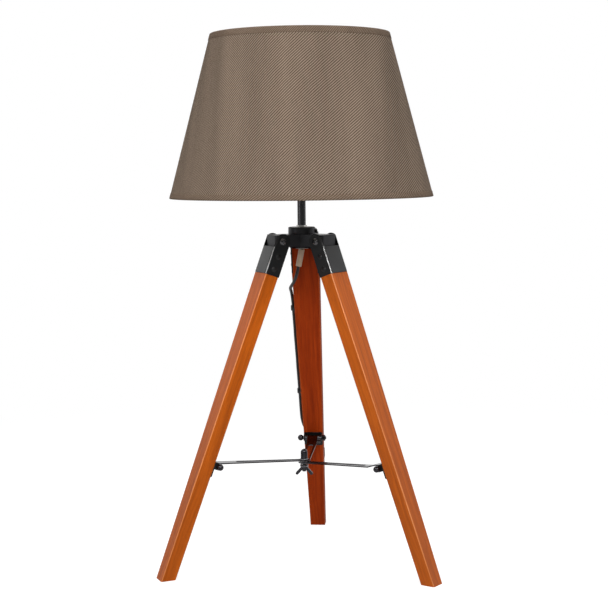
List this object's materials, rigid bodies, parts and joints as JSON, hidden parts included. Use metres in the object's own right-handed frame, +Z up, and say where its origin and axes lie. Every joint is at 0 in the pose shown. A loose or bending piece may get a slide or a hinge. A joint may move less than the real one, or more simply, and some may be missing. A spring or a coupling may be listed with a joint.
{
  "type": "tripod table lamp",
  "caption": "Table lamp on folding wooden tripod legs with a slotted metal spreader, a steel stem and a conical fabric shade.",
  "frame": {"origin": "on the floor, midway between the shade's front and the rear foot's back, in the plane of symmetry", "axes": "+Z up, +Y towards the rear leg, +X to the lamp's right seen from the front"},
  "size_m": [0.351, 0.3812, 0.667],
  "materials": {
    "shade_linen": "fine herringbone linen weave",
    "hem_tape": "matching woven tape",
    "shade_backing": "white styrene film",
    "white_wire": "white powder coat",
    "leg_wood": "stained hardwood, satin varnish",
    "gunmetal": "gunmetal, semi-gloss",
    "black_steel": "black lacquered pressed steel",
    "dark_steel": "darkened steel",
    "black_nickel": "polished black nickel plate",
    "zinc_steel": "zinc plated",
    "bright_nut": "bright nickel plate",
    "black_plastic": "black moulded, fine grain",
    "porcelain": "white glazed ceramic",
    "brass": "plain brass",
    "bulb_aluminium": "bright drawn",
    "bulb_glass": "white frosted",
    "white_nylon": "natural nylon",
    "clear_vinyl": "clear soft vinyl",
    "black_nylon": "black nylon",
    "black_vinyl": "black moulded vinyl",
    "cord_black": "black vinyl sheath"
  },
  "bodies": {
    "base": {"hub": "gunmetal", "stem_tube": "gunmetal", "stem_nut": "bright_nut", "stem_screw": "dark_steel", "cable_bush": "white_nylon", "cable_sleeve": "clear_vinyl", "inner_lead": "cord_black", "socket_cap": "black_plastic", "socket_shell": "black_plastic", "socket_core": "porcelain", "screw_shell": "brass", "centre_contact": "brass", "fitter_nuts": "black_plastic", "bulb_cap": "bulb_aluminium", "bulb_globe": "bulb_glass", "shade_fabric": "shade_linen", "shade_liner": "shade_backing", "shade_top_hem": "hem_tape", "shade_bottom_hem": "hem_tape", "shade_top_ring": "white_wire", "shade_frame": "white_wire", "cord_lead": "cord_black"},
    "switch": {"switch_knob": "black_plastic"},
    "leg_rear": {"leg_rear": "leg_wood", "bracket_rear": "black_steel", "rivets_rear": "dark_steel", "pivot_rear": "dark_steel", "saddle_rear": "black_steel", "saddle_screws_rear": "dark_steel", "ball_pin_rear": "black_nickel", "cord_run": "cord_black", "cord_hank": "cord_black", "cord_clips": "black_nylon", "tie_mount": "black_nylon", "cord_tie": "black_nylon", "plug_body": "black_vinyl", "plug_pins": "brass"},
    "leg_left": {"leg_left": "leg_wood", "bracket_left": "black_steel", "rivets_left": "dark_steel", "pivot_left": "dark_steel", "saddle_left": "black_steel", "saddle_screws_left": "dark_steel", "ball_pin_left": "black_nickel"},
    "leg_right": {"leg_right": "leg_wood", "bracket_right": "black_steel", "rivets_right": "dark_steel", "pivot_right": "dark_steel", "saddle_right": "black_steel", "saddle_screws_right": "dark_steel", "ball_pin_right": "black_nickel"},
    "arm_rear": {"arm_rear": "black_nickel"},
    "arm_left": {"arm_left": "black_nickel"},
    "arm_right": {"arm_right": "black_nickel"},
    "spreader_bolt": {"spreader_bolt": "black_nickel", "spreader_washers": "zinc_steel"},
    "wing_nut": {"wing_nut": "black_nickel"}
  },
  "joints": [
    {"name": "leg_rear_fold", "type": "hinge", "parent": "base", "child": "leg_rear", "pos_m": [0, 0.0168, 0.411], "axis": [-1, 0, 0], "range_deg": [0, 18], "deforming": ["cord_lead"]},
    {"name": "leg_left_fold", "type": "hinge", "parent": "base", "child": "leg_left", "pos_m": [-0.02858, -0.0327, 0.411], "axis": [0.5, -0.866, 0], "range_deg": [0, 18]},
    {"name": "leg_right_fold", "type": "hinge", "parent": "base", "child": "leg_right", "pos_m": [0.02858, -0.0327, 0.411], "axis": [0.5, 0.866, 0], "range_deg": [0, 18]},
    {"name": "arm_rear_tilt", "type": "hinge", "parent": "leg_rear", "child": "arm_rear", "pos_m": [0, 0.10426, 0.136], "axis": [-1, 0, 0], "range_deg": [-18, 0]},
    {"name": "arm_left_tilt", "type": "hinge", "parent": "leg_left", "child": "arm_left", "pos_m": [-0.10433, -0.07644, 0.136], "axis": [0.5, -0.866, 0], "range_deg": [-18, 0]},
    {"name": "arm_right_tilt", "type": "hinge", "parent": "leg_right", "child": "arm_right", "pos_m": [0.10433, -0.07644, 0.136], "axis": [0.5, 0.866, 0], "range_deg": [-18, 0]},
    {"name": "bolt_slide", "type": "slide", "parent": "arm_rear", "child": "spreader_bolt", "axis": [0, 0.9978, 0.0663], "range_m": [0, 0.08907]},
    {"name": "wing_nut_turn", "type": "hinge", "parent": "spreader_bolt", "child": "wing_nut", "pos_m": [0, -0.0162, 0.1195], "axis": [0, 0, 1], "continuous": true},
    {"name": "switch_turn", "type": "hinge", "parent": "base", "child": "switch", "pos_m": [0.03, -0.0162, 0.505], "axis": [1, 0, 0], "continuous": true}
  ],
  "couplings": [
    {"joint": "leg_left_fold", "follows": "leg_rear_fold", "ratio": 1},
    {"joint": "leg_right_fold", "follows": "leg_rear_fold", "ratio": 1},
    {"joint": "arm_rear_tilt", "follows": "leg_rear_fold", "ratio": -1},
    {"joint": "arm_left_tilt", "follows": "leg_rear_fold", "ratio": -1},
    {"joint": "arm_right_tilt", "follows": "leg_rear_fold", "ratio": -1},
    {"joint": "bolt_slide", "follows": "leg_rear_fold", "m_per_rad": 0.2835}
  ]
}
